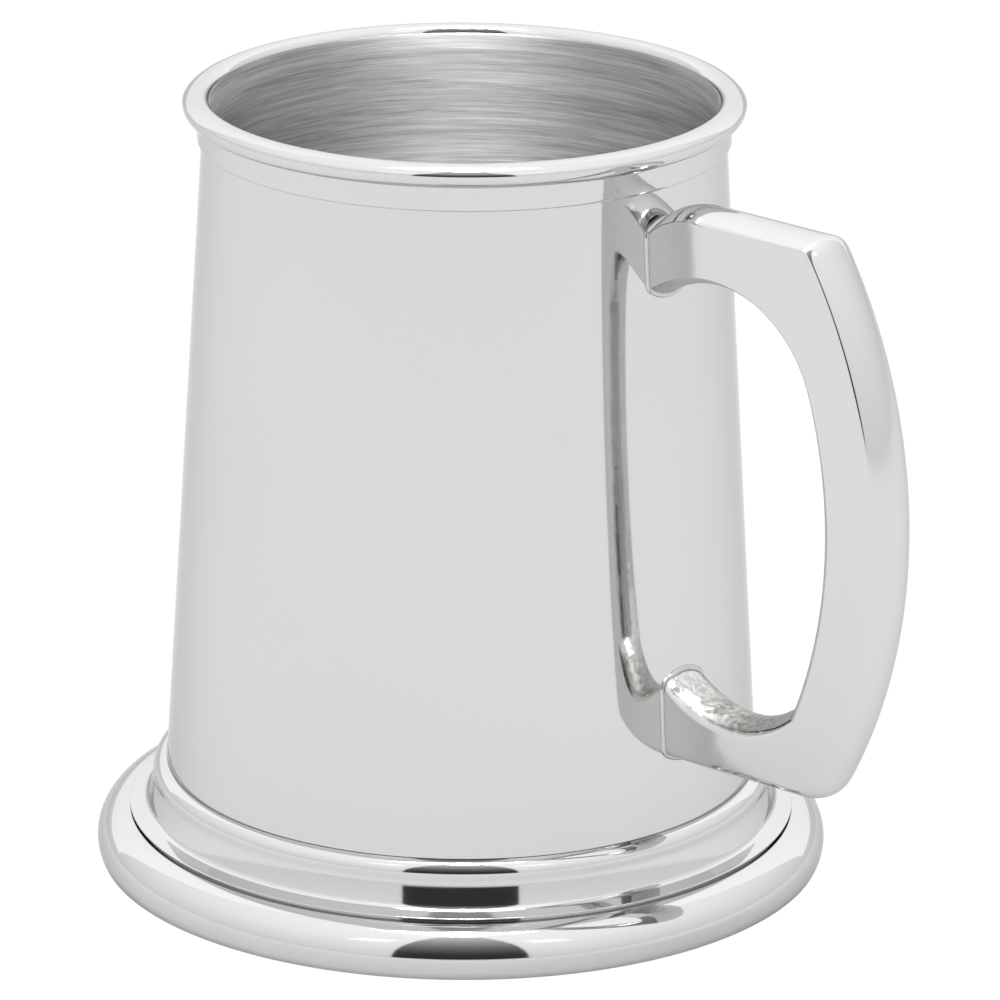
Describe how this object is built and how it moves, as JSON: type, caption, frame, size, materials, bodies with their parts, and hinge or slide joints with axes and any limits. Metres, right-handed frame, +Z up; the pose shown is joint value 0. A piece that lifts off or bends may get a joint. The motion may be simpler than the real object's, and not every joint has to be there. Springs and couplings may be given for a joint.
{
  "type": "pewter tankard",
  "caption": "Tapered one-pint drinking tankard with a rolled lip, a moulded foot and a cast loop handle.",
  "frame": {"origin": "on the turning axis of the drum, in the plane that the foot rests on", "axes": "+Z up along the turning axis, +X from the axis towards the handle"},
  "size_m": [0.1398, 0.112, 0.12],
  "materials": {
    "polished_pewter": "mirror-polished pewter, satin-brushed on the inside of the cup",
    "cast_pewter": "cast pewter, polished outside, with the casting skin left inside the loop",
    "brushed_pewter": "pewter brushed in circles",
    "solder": "tin solder, dressed and polished with the metal round it"
  },
  "bodies": {
    "root": {"drum": "polished_pewter", "side_seam": "solder", "rim_moulding": "polished_pewter", "rim_solder": "solder", "foot_moulding": "polished_pewter", "foot_solder": "solder", "base_plate": "brushed_pewter", "base_solder": "solder", "handle": "cast_pewter", "upper_handle_solder": "solder", "lower_handle_solder": "solder"}
  },
  "joints": []
}
